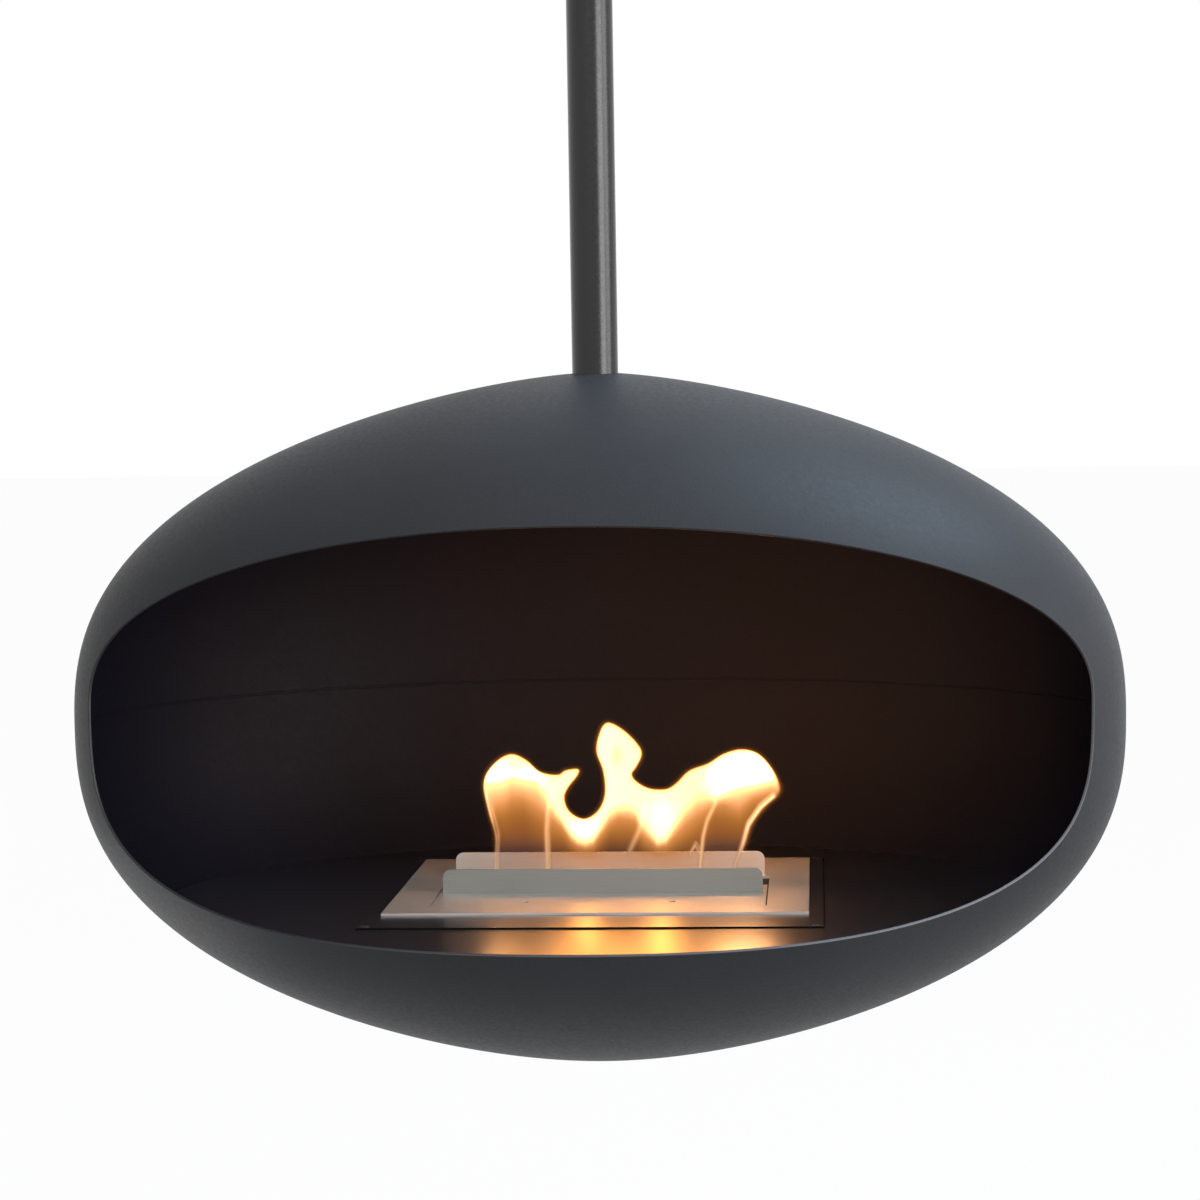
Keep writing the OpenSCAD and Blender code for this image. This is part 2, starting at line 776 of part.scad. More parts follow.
// Slotted sheet that lies on the wool
module wool_retainer() {
    color(bright_steel)
    at_burner()
        difference() {
            block(tank_in_w - 2 * wool_gap, tank_in_depth - 2 * wool_gap, wool_top, wool_top + retainer_t);
            in_row(retainer_slots, retainer_pitch)
                block(retainer_slot_w, tank_in_depth - 2 * retainer_edge, wool_top - cut, wool_top + retainer_t + cut);
        }
}

// An upright lip with round upper corners and a riveted foot behind it, standing on a face at a height
module lip(y, z) {
    translate([0, y, z])
        difference() {
            union() {
                slab(lip_l, 0, lip_t, 0, lip_h - lip_r);
                slab(lip_l - 2 * lip_r, 0, lip_t, 0, lip_h);
                slab(lip_l, 0, lip_t + lip_foot, 0, lip_t);
                in_row(2, lip_l - 2 * lip_r)
                    translate([0, lip_t, lip_h - lip_r]) rotate([90, 0, 0]) disc(2 * lip_r, 0, lip_t);
            }
            translate([0, lip_t + lip_foot / 2, 0]) in_row(rivets_n, rivet_pitch)
                disc(rivet_d + 2 * bolt_gap, -cut, lip_t + cut);
        }
}

// The row of rivets through a lip's foot, down to a height below its face
module rivet_row(y, z, bottom) {
    translate([0, y + lip_t + lip_foot / 2, 0]) in_row(rivets_n, rivet_pitch) {
        disc(rivet_d, bottom, z + lip_t);
        disc(rivet_head_d, z + lip_t, z + lip_t + rivet_head_h);
    }
}

// Rear lip, which stands still behind the flame slot
module rear_lip() {
    color(brushed_steel) at_burner() lip(rear_lip_y, burner_t);
}

// Rivets of the rear lip, through the top plate and the cover
module rear_lip_rivets() {
    color(bright_steel) at_burner() rivet_row(rear_lip_y, burner_t, -cover_t);
}

// Slider plate, which closes the flame slot, with its two tool holes
module slider_plate() {
    color(brushed_steel)
    at_burner()
        difference() {
            slab(slider_w, slider_front, slider_rear, slide_gap, slider_top);
            translate([0, tool_y, 0]) in_row(2, tool_hole_pitch) disc(tool_hole_d, -cut, slider_top + cut);
            translate([0, front_lip_y + lip_t + lip_foot / 2, 0]) in_row(rivets_n, rivet_pitch)
                disc(rivet_d + 2 * bolt_gap, -cut, slider_top + cut);
        }
}

// Front lip, which moves with the slider
module front_lip() {
    color(brushed_steel) at_burner() lip(front_lip_y, slider_top);
}

// Rivets of the front lip, flush below the slider plate
module front_lip_rivets() {
    color(bright_steel) at_burner() rivet_row(front_lip_y, slider_top, slide_gap);
}

// Pins under the slider plate that run in the cover's guide slots
module guide_pins() {
    color(bright_steel)
    at_burner()
        translate([0, tool_y, 0]) in_row(2, guide_pin_pitch)
            disc(guide_pin_d, guide_washer_top - guide_washer_t - pin_stick_out, slide_gap);
}

// Washers pressed onto the guide pins below the cover
module guide_washers() {
    color(bright_steel)
    at_burner()
        translate([0, tool_y, 0]) in_row(2, guide_pin_pitch)
            ring(guide_washer_d, guide_pin_d + 2 * shaft_gap, guide_washer_top - guide_washer_t, guide_washer_top);
}

ceiling_plate();
swivel_housing();
housing_screws();
swivel_bush();
canopy();
canopy_screws();
swivel_stem();
thrust_washer();
stem_nut();
nut_lock_pin();
pole();
cross_bolt();
cross_nut();
pole_plug();
hanger_plate();
hanger_washer();
hanger_bolt();
upper_shell();
lower_shell();
hearth_plate();
insert_ledge();
hearth_insert();
insert_screws();
burner_top();
burner_cover();
fuel_tank();
ceramic_wool();
wool_retainer();
rear_lip();
rear_lip_rivets();
slider_plate();
front_lip();
front_lip_rivets();
guide_pins();
guide_washers();
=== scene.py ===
# Hung bioethanol fireplace: the looks of the part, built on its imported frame.
# Lengths are in metres in the part's own frame, unless a comment or a name ending in _MM says millimetres.
import json
import math
import bmesh
import bpy
import numpy as np
from mathutils import Matrix, Vector
from mathutils.geometry import delaunay_2d_cdt
from mathutils.kdtree import KDTree


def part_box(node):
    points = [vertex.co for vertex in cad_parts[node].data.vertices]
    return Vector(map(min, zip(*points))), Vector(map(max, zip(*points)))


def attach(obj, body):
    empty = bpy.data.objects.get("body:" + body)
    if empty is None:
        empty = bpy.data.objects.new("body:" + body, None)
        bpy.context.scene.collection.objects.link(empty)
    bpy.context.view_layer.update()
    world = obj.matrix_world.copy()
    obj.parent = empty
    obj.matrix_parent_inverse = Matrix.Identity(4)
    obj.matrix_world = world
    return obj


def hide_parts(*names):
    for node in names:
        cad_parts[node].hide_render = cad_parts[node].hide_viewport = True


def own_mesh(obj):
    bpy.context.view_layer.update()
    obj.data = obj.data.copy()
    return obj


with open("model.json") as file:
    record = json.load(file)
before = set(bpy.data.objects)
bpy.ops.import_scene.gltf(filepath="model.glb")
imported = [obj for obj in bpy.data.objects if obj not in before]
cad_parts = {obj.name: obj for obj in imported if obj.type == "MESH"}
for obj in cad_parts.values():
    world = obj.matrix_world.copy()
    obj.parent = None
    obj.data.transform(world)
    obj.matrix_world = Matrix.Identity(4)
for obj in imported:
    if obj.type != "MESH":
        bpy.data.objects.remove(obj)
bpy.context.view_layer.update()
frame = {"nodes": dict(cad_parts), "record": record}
MM = 0.001

# Sizes that the solids give
upper_lo, upper_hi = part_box("upper_shell")
SEAM_Z = upper_lo.z
HEARTH_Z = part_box("hearth_insert")[1].z
# Half sizes of the pod, measured from the middle of its seam
HALF = np.array(Vector(((upper_hi.x - upper_lo.x) / 2, upper_hi.y, upper_hi.z - SEAM_Z)))

# Shape of the pod and of its mouth, as in the part's source. The mouth reaches 0.6 mm lower here, so that the
# smooth skin's lip stays inside the box of the faceted solid.
PLAN_POWER = 1.53
SIDE_POWER = 2.5
SHEET = 2.5 * MM
MOUTH_HALF_W = 0.420
MOUTH_MID_Z = 0.032
MOUTH_UP = 0.150
MOUTH_DOWN = 0.1866
MOUTH_UP_POWER = 2.1
MOUTH_DOWN_POWER = 3.4
POLE_HOLE_R = 20.5 * MM
EDGE_ROUND = 0.6 * MM
# The mouth's edge turns from its plain coat to a painted highlight between these X, and between these heights
PLAIN_X = -0.25
HIGHLIGHT_X = 0.3
PLAIN_Z = SEAM_Z + 0.10
HIGHLIGHT_Z = SEAM_Z - 0.08

SLOT_OF = {}
for part in frame["record"]["subparts"]:
    SLOT_OF[part["node"]] = part["material_slot"]
BODY_OF = {}
for body_name, members in frame["record"]["behaviour"]["bodies"].items():
    for member in members:
        BODY_OF[member] = body_name


# Materials

def new_node(tree, kind, **values):
    """A new node whose inputs are set by name, with _ for the spaces in a name."""
    node = tree.nodes.new(kind)
    for key, value in values.items():
        node.inputs[key.replace("_", " ")].default_value = value
    return node


def shade(colour, k):
    """The colour made darker or lighter by the factor k."""
    return tuple(c * k for c in colour)


class Shader:
    """A material with one Principled shader, and short ways to add nodes to it."""

    def __init__(self, name, **values):
        self.material = bpy.data.materials.new(name)
        self.material.use_nodes = True
        self.tree = self.material.node_tree
        self.tree.nodes.clear()
        self.main = new_node(self.tree, "ShaderNodeBsdfPrincipled", **values)
        output = new_node(self.tree, "ShaderNodeOutputMaterial")
        self.link(self.main.outputs["BSDF"], output.inputs["Surface"])
        self.coords = None

    def link(self, a, b):
        self.tree.links.new(a, b)

    def place(self, stretch=(1, 1, 1)):
        """Places in the part's frame, stretched along the axes."""
        if self.coords is None:
            self.coords = new_node(self.tree, "ShaderNodeTexCoord")
        mapping = new_node(self.tree, "ShaderNodeMapping", Scale=stretch)
        self.link(self.coords.outputs["Object"], mapping.inputs["Vector"])
        return mapping.outputs["Vector"]

    def noise(self, scale, detail=2.0, roughness=0.5, stretch=(1, 1, 1)):
        node = new_node(self.tree, "ShaderNodeTexNoise", Scale=scale, Detail=detail, Roughness=roughness)
        self.link(self.place(stretch), node.inputs["Vector"])
        return node.outputs["Fac"]

    def spread(self, value, low, high, from_low=0.3, from_high=0.7):
        """The value's range, a noise's usual one unless said, spread from low to high."""
        node = new_node(self.tree, "ShaderNodeMapRange", From_Min=from_low, From_Max=from_high,
                        To_Min=low, To_Max=high)
        self.link(value, node.inputs["Value"])
        return node.outputs["Result"]

    def math(self, kind, a, b):
        node = new_node(self.tree, "ShaderNodeMath")
        node.operation = kind
        for socket, value in zip(node.inputs, (a, b)):
            if isinstance(value, (int, float)):
                socket.default_value = value
            else:
                self.link(value, socket)
        return node.outputs["Value"]

    def blend(self, a, b, share):
        """A mix with the given share of a, and b for the rest."""
        return self.math("ADD", self.math("MULTIPLY", a, share), self.math("MULTIPLY", b, 1 - share))

    def ramp(self, value, stops):
        node = new_node(self.tree, "ShaderNodeValToRGB")
        elements = node.color_ramp.elements
        while len(elements) < len(stops):
            elements.new(0.5)
        for element, (position, colour) in zip(elements, stops):
            element.position = position
            element.color = (*colour, 1.0)
        self.link(value, node.inputs["Fac"])
        return node.outputs["Color"]

    def three_tones(self, value, reach, dark, colour, light):
        """The colour in the middle of a noise, and its dark and light forms at a reach from there."""
        return self.ramp(value, [(0.5 - reach, dark), (0.5, colour), (0.5 + reach, light)])

    def bump(self, height, strength, distance, after=None):
        node = new_node(self.tree, "ShaderNodeBump", Strength=strength, Distance=distance)
        self.link(height, node.inputs["Height"])
        if after is not None:
            self.link(after, node.inputs["Normal"])
        return node.outputs["Normal"]

    def finish(self, colour, roughness, normal):
        self.link(colour, self.main.inputs["Base Color"])
        if roughness is not None:
            self.link(roughness, self.main.inputs["Roughness"])
        self.link(normal, self.main.inputs["Normal"])
        return self.material


def coat_grain(s):
    """The tiny grains of a powder coat."""
    return s.noise(scale=1500, roughness=0.6)


def coat_skin(s):
    """The fine unevenness of a powder coat."""
    return s.bump(s.noise(scale=700), strength=0.25, distance=0.15 * MM)


def coat_gloss(s, rough):
    """A roughness that varies a little about the given one."""
    return s.spread(s.noise(scale=260), rough - 0.05, rough + 0.05)


def powder_coat(name, colour, rough, level, speckle):
    """Fine-grained powder coat: tiny light and dark grains, and a soft orange-peel skin."""
    s = Shader(name, Specular_IOR_Level=level)
    mixed = s.blend(coat_grain(s), s.noise(scale=9, detail=3.0), 0.8)
    base = s.three_tones(mixed, 0.14, shade(colour, 1 - speckle), colour, shade(colour, 1 + speckle))
    peel = s.bump(s.noise(scale=120, detail=1.0), strength=0.12, distance=0.3 * MM, after=coat_skin(s))
    return s.finish(base, coat_gloss(s, rough), peel)


def edge_with_painted_highlight(name, plain_tone, highlight_tone):
    """Powder coat on the mouth's sheet edge, with a painted highlight that makes it lighter towards the lower
    right.
    """
    s = Shader(name, Specular_IOR_Level=0.15)
    axes = new_node(s.tree, "ShaderNodeSeparateXYZ")
    s.link(s.place(), axes.inputs["Vector"])
    to_right = s.spread(axes.outputs["X"], 0.0, 1.0, from_low=PLAIN_X, from_high=HIGHLIGHT_X)
    to_bottom = s.spread(axes.outputs["Z"], 0.0, 1.0, from_low=PLAIN_Z, from_high=HIGHLIGHT_Z)
    highlight_share = s.math("MULTIPLY", to_right, to_bottom)
    base = s.ramp(s.blend(highlight_share, coat_grain(s), 0.9), [(0.05, plain_tone), (1.0, highlight_tone)])
    return s.finish(base, coat_gloss(s, 0.32), coat_skin(s))


def stove_enamel(name, colour):
    """Semi-gloss black enamel with a little dust and fine rubbing marks."""
    s = Shader(name, Specular_IOR_Level=1.0, Coat_Weight=0.8, Coat_Roughness=0.28)
    dust = s.noise(scale=55, detail=4.0, roughness=0.6)
    base = s.ramp(dust, [(0.3, colour), (0.62, shade(colour, 1.2)), (0.8, shade(colour, 1.5))])
    rub = s.noise(scale=45, roughness=0.6, stretch=(1, 0.04, 1))
    skin = s.bump(s.noise(scale=900, detail=1.0), strength=0.02, distance=0.05 * MM)
    return s.finish(base, s.spread(rub, 0.29, 0.33), skin)


def brushed_steel(name, colour, rough, metal, tint, contrast):
    """Stainless sheet brushed along X, slightly stained by heat."""
    s = Shader(name, Metallic=metal)
    lines = s.noise(scale=900, roughness=0.6, stretch=(0.02, 1, 1))
    mixed = s.blend(lines, s.noise(scale=14, detail=3.0), 0.6)
    stained = tuple(c * t for c, t in zip(colour, tint))
    base = s.three_tones(mixed, 0.15, shade(stained, 1 - contrast), colour, shade(colour, 1 + contrast))
    scratch = s.bump(lines, strength=0.06, distance=0.05 * MM)
    return s.finish(base, s.spread(lines, rough - 0.06, rough + 0.07), scratch)


def turned_metal(name, colour, rough, scale):
    """Plated, turned or rolled small parts: a mottled skin with slight wear."""
    s = Shader(name, Metallic=1.0)
    fleck = s.noise(scale, detail=3.0, roughness=0.6)
    base = s.three_tones(fleck, 0.2, shade(colour, 0.86), colour, shade(colour, 1.1))
    gloss = s.spread(s.noise(scale * 0.4), rough - 0.05, rough + 0.05)
    skin = s.bump(s.noise(scale * 2), strength=0.05, distance=0.05 * MM)
    return s.finish(base, gloss, skin)


def ceramic_fibre(name, colour):
    """White felt of ceramic fibre, with matted strands."""
    s = Shader(name, Roughness=0.95, Specular_IOR_Level=0.1)
    strands = s.noise(scale=600, detail=4.0, roughness=0.7, stretch=(0.3, 1, 0.6))
    base = s.ramp(strands, [(0.3, shade(colour, 0.7)), (0.6, colour)])
    felt = s.bump(strands, strength=0.6, distance=0.5 * MM)
    return s.finish(base, None, felt)


materials = {
    "coat": powder_coat("coat", (0.0278, 0.0283, 0.0305), rough=0.48, level=0.08, speckle=0.22),
    "hearth": stove_enamel("hearth", (0.018, 0.0178, 0.023)),
    "stainless": brushed_steel("stainless", (0.55, 0.53, 0.51), rough=0.42, metal=0.45,
                               tint=(1.0, 0.96, 0.9), contrast=0.1),
    "plain_steel": turned_metal("plain_steel", (0.2, 0.2, 0.21), rough=0.45, scale=220),
    "zinc": turned_metal("zinc", (0.48, 0.49, 0.5), rough=0.32, scale=300),
    "bronze": turned_metal("bronze", (0.5, 0.3, 0.12), rough=0.35, scale=260),
    "wool": ceramic_fibre("wool", (0.8, 0.77, 0.7)),
}
inner_coat = powder_coat("inner_coat", (0.0052, 0.0050, 0.0104), rough=0.62, level=0.17, speckle=0.35)
# The coat of the mouth's sheet edge, with a painted highlight towards the lower right
edge_coat = edge_with_painted_highlight("edge_coat", plain_tone=(0.026, 0.0265, 0.029), highlight_tone=(0.16, 0.16, 0.168))
# Upright faces of the hearth's plates, matt and near black: painted shade in the seams between the plates
painted_seam_shade = powder_coat("painted_seam_shade", (0.004, 0.004, 0.004), rough=0.7, level=0.05, speckle=0.2)
DARK_SIDES = ("hearth_insert", "hearth_plate")
# Pieces that look a little different from their material slot
OWN_LOOK = {
    "pole": powder_coat("pole_coat", (0.004, 0.004, 0.0045), rough=0.24, level=0.48, speckle=0.2),
    # The front lip is a darker copy of the stainless: painted shade
    "front_lip": brushed_steel("front_lip_steel_painted_shade", (0.26, 0.266, 0.25), rough=0.45, metal=0.45,
                               tint=(0.97, 1.0, 0.97), contrast=0.06),
    "rear_lip": brushed_steel("rear_lip_steel", (0.60, 0.56, 0.52), rough=0.45, metal=0.25,
                              tint=(1.0, 0.98, 0.94), contrast=0.06),
    # The burner cover is a much darker steel than its slot
    "burner_cover": turned_metal("darkened_cover_steel", (0.055, 0.05, 0.047), rough=0.55, scale=200),
    "canopy_screws": turned_metal("black_screw", (0.045, 0.045, 0.05), rough=0.5, scale=300),
}


# Meshes

def add_object(name, data):
    obj = bpy.data.objects.new(name, data)
    bpy.context.scene.collection.objects.link(obj)
    return obj


def make_object(name, points, faces, mats=(), face_slots=None):
    mesh = bpy.data.meshes.new(name)
    mesh.from_pydata([tuple(p) for p in points], [], faces)
    for m in mats:
        mesh.materials.append(m)
    if face_slots is not None:
        mesh.polygons.foreach_set("material_index", face_slots)
    mesh.polygons.foreach_set("use_smooth", [True] * len(mesh.polygons))
    mesh.update()
    return add_object(name, mesh)


def unit(v):
    """Each vector with length 1."""
    return v / np.maximum(np.linalg.norm(v, axis=-1, keepdims=True), 1e-12)


def along(points, count):
    """The same line with count points, evenly spaced."""
    points = np.asarray(points, float)
    steps = np.linalg.norm(np.diff(points, axis=0), axis=1)
    length = np.concatenate([[0.0], np.cumsum(steps)])
    at = np.linspace(0, length[-1], count)
    return np.column_stack([np.interp(at, length, points[:, k]) for k in range(points.shape[1])])


# The pod's two shells, whose smooth skins take the place of the faceted solids

# Points on each half of the mouth's curve before they are evened out
CURVE_POINTS = 1500
# Columns of points along each shell's mouth edge, and rings from there to the back
UPPER_COLUMNS = 181
LOWER_COLUMNS = 161
SHELL_RINGS = 96
# Turns of the sheet's edge, in degrees: its inner rounding and its outer one
INNER_TURNS = (-90, -60, -30, 0)
OUTER_TURNS = (0, 30, 60, 90)
# Places of the skin's materials
OUTSIDE = 0
INSIDE = 1
EDGE = 2


def signed_power(v, e):
    """The power e of the size of v, with the sign of v."""
    return np.sign(v) * np.abs(v) ** e


def mouth_curve(side, half_h, power):
    """Half of the mouth's edge in X and height above the seam: side is -1 from the left, 1 from the right."""
    a = np.linspace(0, np.pi, CURVE_POINTS)
    return np.column_stack([
        side * MOUTH_HALF_W * signed_power(np.cos(a), 2 / power),
        MOUTH_MID_Z + half_h * np.abs(np.sin(a)) ** (2 / power)])


def split_at_seam():
    """The mouth's edge above and below the seam, each from the left to the right."""
    over = mouth_curve(-1, MOUTH_UP, MOUTH_UP_POWER)
    under = mouth_curve(1, -MOUTH_DOWN, MOUTH_DOWN_POWER)
    right = under[(under[:, 1] >= 0) & (under[:, 0] > 0)]
    left = under[(under[:, 1] >= 0) & (under[:, 0] < 0)]
    below = under[under[:, 1] < 0]
    seam_x = np.interp(0, [below[0, 1], right[-1, 1]], [below[0, 0], right[-1, 0]])
    right_end = np.array([[seam_x, 0.0]])
    left_end = right_end * [-1, 1]
    top = np.vstack([left_end, left, over[1:-1], right, right_end])
    bottom = np.vstack([left_end, below[::-1], right_end])
    return top, bottom


def level(p):
    """The pod's surface is where this is 1. Points are in shares of the pod's half sizes."""
    plan = np.sqrt(p[..., 0] ** 2 + p[..., 1] ** 2)
    return plan ** PLAN_POWER + np.abs(p[..., 2]) ** SIDE_POWER


def onto_pod(d):
    """Points on the pod's surface in the directions d, found by halving."""
    low = np.full(d.shape[:-1], 0.2)
    high = np.full(d.shape[:-1], 3.0)
    for _ in range(50):
        mid = (low + high) / 2
        inside = level(d * mid[..., None]) < 1
        low = np.where(inside, mid, low)
        high = np.where(inside, high, mid)
    return d * ((low + high) / 2)[..., None] * HALF


def pod_normal(p):
    """Unit normal of the pod's surface at points measured from the seam's middle."""
    q = p / HALF
    plan = np.maximum(np.sqrt(q[..., 0] ** 2 + q[..., 1] ** 2), 1e-6)
    side = PLAN_POWER * plan ** (PLAN_POWER - 2)
    up = SIDE_POWER * np.abs(q[..., 2]) ** (SIDE_POWER - 1) * np.sign(q[..., 2])
    n = np.stack([side * q[..., 0], side * q[..., 1], up], axis=-1) / HALF
    return n / np.linalg.norm(n, axis=-1, keepdims=True)


def shell_rows(rim_xz):
    """Rows of points and their normals, from the inner back over the mouth's edge to the outer back."""
    q = rim_xz / HALF[[0, 2]]
    plan = (1 - np.abs(q[:, 1]) ** SIDE_POWER) ** (1 / PLAN_POWER)
    front = -np.sqrt(np.maximum(plan ** 2 - q[:, 0] ** 2, 0))
    start = unit(np.column_stack([q[:, 0], front, q[:, 1]]))
    back = np.array([0.0, 1.0, 0.0])
    turn = np.arccos(np.clip(start @ back, -1, 1))
    t = np.linspace(0, 1, SHELL_RINGS + 1)[:-1]
    w0 = np.sin((1 - t)[:, None] * turn) / np.sin(turn)
    w1 = np.sin(t[:, None] * turn) / np.sin(turn)
    outer = onto_pod(unit(w0[..., None] * start + w1[..., None] * back))
    outer[:, [0, -1], 2] = 0.0
    normal = pod_normal(outer)
    inner = outer - SHEET * normal
    rim = outer[0]
    rim_n = normal[0]
    tangent = unit(np.gradient(rim, axis=0))
    inward = unit(np.cross(rim_n, tangent))
    inward *= np.sign(np.sum(inward * (outer[1] - outer[0]), axis=1))[:, None]
    rows = [(inner[j], -normal[j]) for j in range(SHELL_RINGS - 1, 0, -1)]
    for depth, turns in ((SHEET - EDGE_ROUND, INNER_TURNS), (EDGE_ROUND, OUTER_TURNS)):
        centre = rim - depth * rim_n + EDGE_ROUND * inward
        for a in np.radians(turns):
            n = math.sin(a) * rim_n - math.cos(a) * inward
            rows.append((centre + EDGE_ROUND * n, n))
    rows += [(outer[j], normal[j]) for j in range(1, SHELL_RINGS)]
    for p, _ in rows:
        p[[0, -1], 2] = 0.0
    return rows


def half_shell(name, rim_xz, top):
    """One half of the pod as a sheet with rounded mouth edge, closed at the seam."""
    cols = len(rim_xz)
    rows = shell_rows(rim_xz)
    last_row = len(rows) - 1
    edge_from = SHELL_RINGS - 1
    edge_to = edge_from + len(INNER_TURNS + OUTER_TURNS) - 1
    points = [tuple(p) for row, _ in rows for p in row]
    normals = [tuple(n) for _, row in rows for n in row]
    inner_back = len(points)
    outer_back = inner_back + 1
    points += [(0.0, HALF[1] - SHEET, 0.0), (0.0, HALF[1], 0.0)]
    normals += [(0.0, -1.0, 0.0), (0.0, 1.0, 0.0)]
    faces = []
    slots = []

    def add(face, slot):
        faces.append(face if top else face[::-1])
        slots.append(slot)

    for j in range(last_row):
        slot = INSIDE if j < edge_from else EDGE if j < edge_to else OUTSIDE
        for i in range(cols - 1):
            a = j * cols + i
            b = a + cols
            add((a, a + 1, b + 1, b), slot)
    for i in range(cols - 1):
        add((inner_back, i + 1, i), INSIDE)
        a = last_row * cols + i
        add((outer_back, a, a + 1), OUTSIDE)
    # The faces on the seam, at the left end and at the right one
    for i, way in ((0, 1), (cols - 1, -1)):
        inner_at = inner_back
        outer_at = outer_back
        for j in range(len(rows) // 2):
            next_inner = j * cols + i
            next_outer = (last_row - j) * cols + i
            add((inner_at, next_inner, next_outer, outer_at)[::way], OUTSIDE)
            inner_at = next_inner
            outer_at = next_outer
    points = np.array(points) + [0.0, 0.0, SEAM_Z]
    obj = make_object(name, points, faces, (materials["coat"], inner_coat, edge_coat), slots)
    if top:
        cut_pole_hole(obj)
    set_normals(obj, points, normals)
    return obj


def cut_pole_hole(obj):
    """Drills the round hole for the pole through the crown."""
    n = 96
    reach = 30 * MM
    crown = SEAM_Z + HALF[2]
    turns = np.linspace(0, 2 * math.pi, n, endpoint=False)
    ring = [(POLE_HOLE_R * math.cos(a), POLE_HOLE_R * math.sin(a)) for a in turns]
    points = [(x, y, z) for z in (crown - reach, crown + reach) for x, y in ring]
    faces = [tuple(range(n))[::-1], tuple(range(n, 2 * n))]
    faces += [(i, (i + 1) % n, n + (i + 1) % n, n + i) for i in range(n)]
    drill = make_object("drill", points, faces)
    mod = obj.modifiers.new("hole", "BOOLEAN")
    mod.operation = "DIFFERENCE"
    mod.solver = "EXACT"
    mod.object = drill
    bpy.context.view_layer.update()
    cut = bpy.data.meshes.new_from_object(obj.evaluated_get(bpy.context.evaluated_depsgraph_get()))
    obj.modifiers.clear()
    old = obj.data
    obj.data = cut
    cut.name = old.name
    bpy.data.meshes.remove(old)
    bpy.data.objects.remove(drill)


def set_normals(obj, points, normals):
    """Gives the smooth skin its exact normals. The seam's faces and the hole's wall stay flat."""
    mesh = obj.data
    tree = KDTree(len(points))
    for i, p in enumerate(points):
        tree.insert(Vector(p), i)
    tree.balance()
    found = []
    for v in mesh.vertices:
        _, i, dist = tree.find(v.co)
        if dist < 1e-5:
            found.append(Vector(normals[i]))
        else:
            # A point that the drill made, on the outer face or on the inner one
            rel = np.array(v.co) - [0, 0, SEAM_Z]
            n = Vector(pod_normal(rel))
            found.append(n if level(rel / HALF) > 0.998 else -n)
    loops = []
    for poly in mesh.polygons:
        at_seam = abs(poly.center.z - SEAM_Z) < 1e-6 and abs(poly.normal.z) > 0.9
        in_hole = math.hypot(poly.center.x, poly.center.y) < POLE_HOLE_R and abs(poly.normal.z) < 0.5
        for k in poly.loop_indices:
            if at_seam or in_hole:
                loops.append(poly.normal.copy())
            else:
                loops.append(found[mesh.loops[k].vertex_index])
    mesh.normals_split_custom_set(loops)


top_rim, bottom_rim = split_at_seam()
upper = half_shell("upper_shell_skin", along(top_rim, UPPER_COLUMNS), top=True)
lower = half_shell("lower_shell_skin", along(bottom_rim, LOWER_COLUMNS), top=False)
for skin, node in ((upper, "upper_shell"), (lower, "lower_shell")):
    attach(skin, "pod")
    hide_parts(node)


# The weld inside the pod, along its widest line

WELD_R = 1.0 * MM
# Shares of that radius that the weld stands off the wall, and reaches up and down it
WELD_OFF = 0.35
WELD_UP = 1.4
# Each ripple's share of the radius, and how far it turns from one step to the next
WELD_RIPPLES = ((0.10, 1.9), (0.05, 0.37))
WELD_CURVE_POINTS = 1200
WELD_STEPS = 700
WELD_SIDES = 8


def weld_bead():
    """A flat bead with small ripples, from one side of the mouth over the back to the other."""
    end_x = top_rim[-1, 0] / HALF[0]
    end = math.atan2(end_x, -math.sqrt(1 - end_x ** 2))
    turns = np.linspace(-end, end, WELD_CURVE_POINTS)
    outside = onto_pod(np.column_stack([np.sin(turns), np.cos(turns), np.zeros(len(turns))]))
    line = along(outside - SHEET * pod_normal(outside), WELD_STEPS)
    normal = pod_normal(line)
    normal[:, 2] = 0
    normal = unit(normal)
    up = np.array([0.0, 0.0, 1.0])
    points = []
    for k in range(WELD_STEPS):
        r = WELD_R * (1 + sum(much * math.sin(k * turn) for much, turn in WELD_RIPPLES))
        for s in range(WELD_SIDES):
            a = 2 * math.pi * s / WELD_SIDES
            points.append(line[k] + r * (WELD_OFF * math.cos(a) * normal[k] + WELD_UP * math.sin(a) * up))
    faces = []
    for k in range(WELD_STEPS - 1):
        for s in range(WELD_SIDES):
            a = k * WELD_SIDES + s
            b = k * WELD_SIDES + (s + 1) % WELD_SIDES
            faces.append((a, b, b + WELD_SIDES, a + WELD_SIDES))
    faces.append(tuple(range(WELD_SIDES))[::-1])
    faces.append(tuple(range((WELD_STEPS - 1) * WELD_SIDES, WELD_STEPS * WELD_SIDES)))
    bead = make_object("weld_seam", np.array(points) + [0, 0, SEAM_Z], faces, (inner_coat,))
    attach(bead, "pod")


weld_bead()


# All other solids, with eased edges

# How wide each solid's edges are eased, in millimetres
EASED_MM = {
    "ceiling_plate": 0.5, "swivel_housing": 0.5, "housing_screws": 0.25, "swivel_bush": 0.3, "canopy": 0.4,
    "canopy_screws": 0.2, "swivel_stem": 0.4, "thrust_washer": 0.3, "stem_nut": 0.4, "nut_lock_pin": 0.3,
    "pole": 0.3, "cross_bolt": 0.3, "cross_nut": 0.3, "pole_plug": 0.4, "hanger_plate": 0.8,
    "hanger_washer": 0.5, "hanger_bolt": 0.5, "hearth_plate": 0.3, "insert_ledge": 0.3, "hearth_insert": 0.3,
    "insert_screws": 0.2, "burner_top": 0.2, "burner_cover": 0.3, "fuel_tank": 0.8, "ceramic_wool": 1.5,
    "wool_retainer": 0.25, "rear_lip": 0.3, "rear_lip_rivets": 0.2, "slider_plate": 0.15, "front_lip": 0.3,
    "front_lip_rivets": 0.2, "guide_pins": 0.25, "guide_washers": 0.2,
}
# Only edges that turn by more than this are eased, in degrees
EASED_FROM = 28
# Faces of a solid that turn by less than this become one, in degrees
SAME_FACE = 0.4


